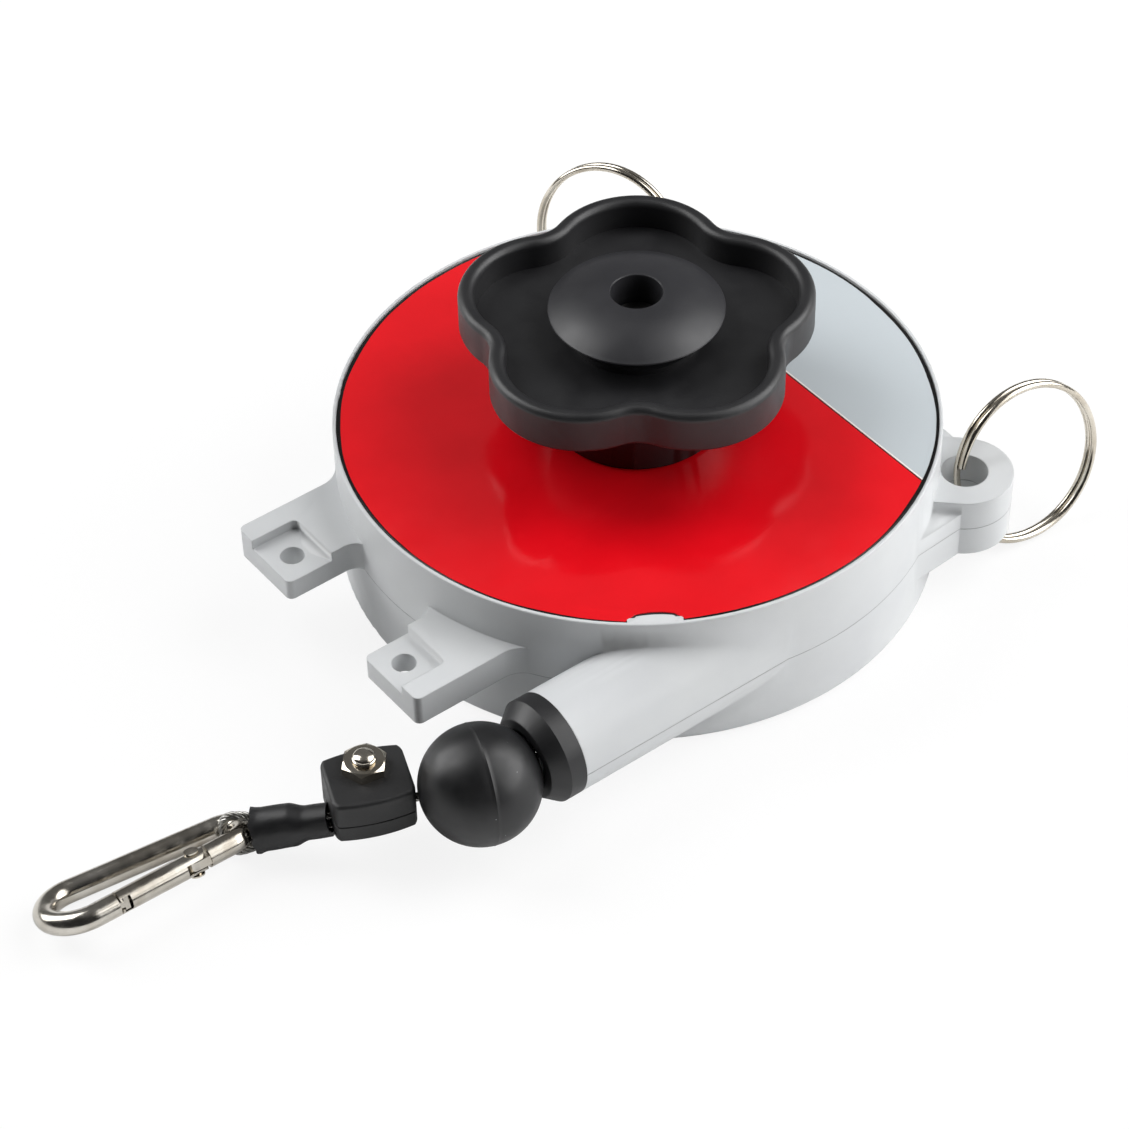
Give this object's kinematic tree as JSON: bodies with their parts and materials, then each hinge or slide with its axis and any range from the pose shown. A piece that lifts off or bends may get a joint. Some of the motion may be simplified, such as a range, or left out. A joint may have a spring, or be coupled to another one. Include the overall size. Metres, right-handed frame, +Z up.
{
  "type": "tool balancer",
  "caption": "Round spring balancer that holds up a hand tool on a retractable cable, with a lobed tension knob, slotted ears, hanger rings, a stop ball and a snap hook.",
  "frame": {"origin": "on the rear face, on the axis of the round housing", "axes": "+Z up the drum axis towards the knob; the cable leaves along -X; the hanger lugs are on the +X side"},
  "size_m": [0.2081, 0.1231, 0.0558],
  "materials": {
    "grey_case": "moulded light grey engineering plastic, fine satin grain",
    "printed_plate": "glossy red film with a light grey segment",
    "black_plastic": "black moulded plastic, fine spark-eroded grain",
    "black_rubber": "black moulded rubber, smooth with a fine mould line",
    "shrink_film": "black shrunk tubing, satin",
    "nickel_steel": "bright nickel-plated steel",
    "stainless_rod": "polished stainless rod",
    "dark_steel": "turned steel, lightly oiled",
    "spring_steel": "blued spring strip and wire",
    "bearing_bronze": "sintered bronze",
    "drum_plastic": "natural glass-filled plastic",
    "wire_rope": "galvanised wire rope",
    "soft_alloy": "pressed aluminium"
  },
  "bodies": {
    "housing": {"rear_housing": "grey_case", "front_housing": "grey_case", "face_plate": "printed_plate", "housing_screws": "dark_steel", "outlet_bush": "black_plastic", "rear_arbor_bush": "bearing_bronze", "front_arbor_bush": "bearing_bronze", "index_ring": "dark_steel"},
    "drum": {"drum": "drum_plastic", "drum_cover": "drum_plastic", "drum_rear_bush": "bearing_bronze", "drum_front_bush": "bearing_bronze", "main_spring": "spring_steel", "cable_wound": "wire_rope", "cable_nipple": "soft_alloy"},
    "arbor": {"arbor_shaft": "dark_steel", "dome_cap": "black_plastic", "cap_screw": "dark_steel", "knob_spring": "spring_steel"},
    "knob": {"knob": "black_plastic"},
    "cable_end": {"cable_run": "wire_rope", "stop_ball": "black_rubber", "clamp_upper": "black_plastic", "clamp_lower": "black_plastic", "clamp_bolt": "nickel_steel", "clamp_nut": "nickel_steel", "crimp_ferrule": "soft_alloy", "shrink_sleeve": "shrink_film"},
    "hook": {"hook_body": "stainless_rod", "gate_rivet": "nickel_steel"},
    "gate": {"hook_gate": "stainless_rod"},
    "hanger_ring": {"hanger_ring": "nickel_steel"},
    "safety_ring": {"safety_ring": "nickel_steel"}
  },
  "joints": [
    {"name": "drum_spin", "type": "hinge", "parent": "housing", "child": "drum", "pos_m": [0, 0, 0.014], "axis": [0, 0, -1], "range_deg": [0, 2130], "stiffness_Nm_per_rad": 0.0093, "springref_deg": -2750.2, "deforming": ["main_spring"]},
    {"name": "cable_pull", "type": "slide", "parent": "housing", "child": "cable_end", "axis": [-1, 0, 0], "range_m": [0, 1.6]},
    {"name": "arbor_turn", "type": "hinge", "parent": "housing", "child": "arbor", "pos_m": [0, 0, 0.014], "axis": [0, 0, 1], "continuous": true, "deforming": ["main_spring"]},
    {"name": "knob_lift", "type": "slide", "parent": "arbor", "child": "knob", "axis": [0, 0, 1], "range_m": [0, 0.0035], "stiffness_N_per_m": 2000, "springref_m": -0.004, "deforming": ["knob_spring"]},
    {"name": "hanger_ring_swing", "type": "hinge", "parent": "housing", "child": "hanger_ring", "pos_m": [0.04122, -0.04122, 0.014], "axis": [0, 0, 1], "range_deg": [-110, 30]},
    {"name": "safety_ring_swing", "type": "hinge", "parent": "housing", "child": "safety_ring", "pos_m": [0.04122, 0.04122, 0.014], "axis": [0, 0, 1], "range_deg": [-138, 2]},
    {"name": "hook_swing", "type": "hinge", "parent": "cable_end", "child": "hook", "pos_m": [-0.1026, -0.0193, 0.0043], "axis": [0.031, 0.3897, 0.9204], "range_deg": [-90, 25]},
    {"name": "gate_open", "type": "hinge", "parent": "hook", "child": "gate", "pos_m": [-0.11058, -0.02259, 0.00596], "axis": [-0.031, -0.3897, -0.9204], "range_deg": [0, 24], "stiffness_Nm_per_rad": 0.01, "springref_deg": -22.92}
  ],
  "couplings": [
    {"joint": "cable_pull", "follows": "drum_spin", "m_per_rad": 0.043}
  ]
}
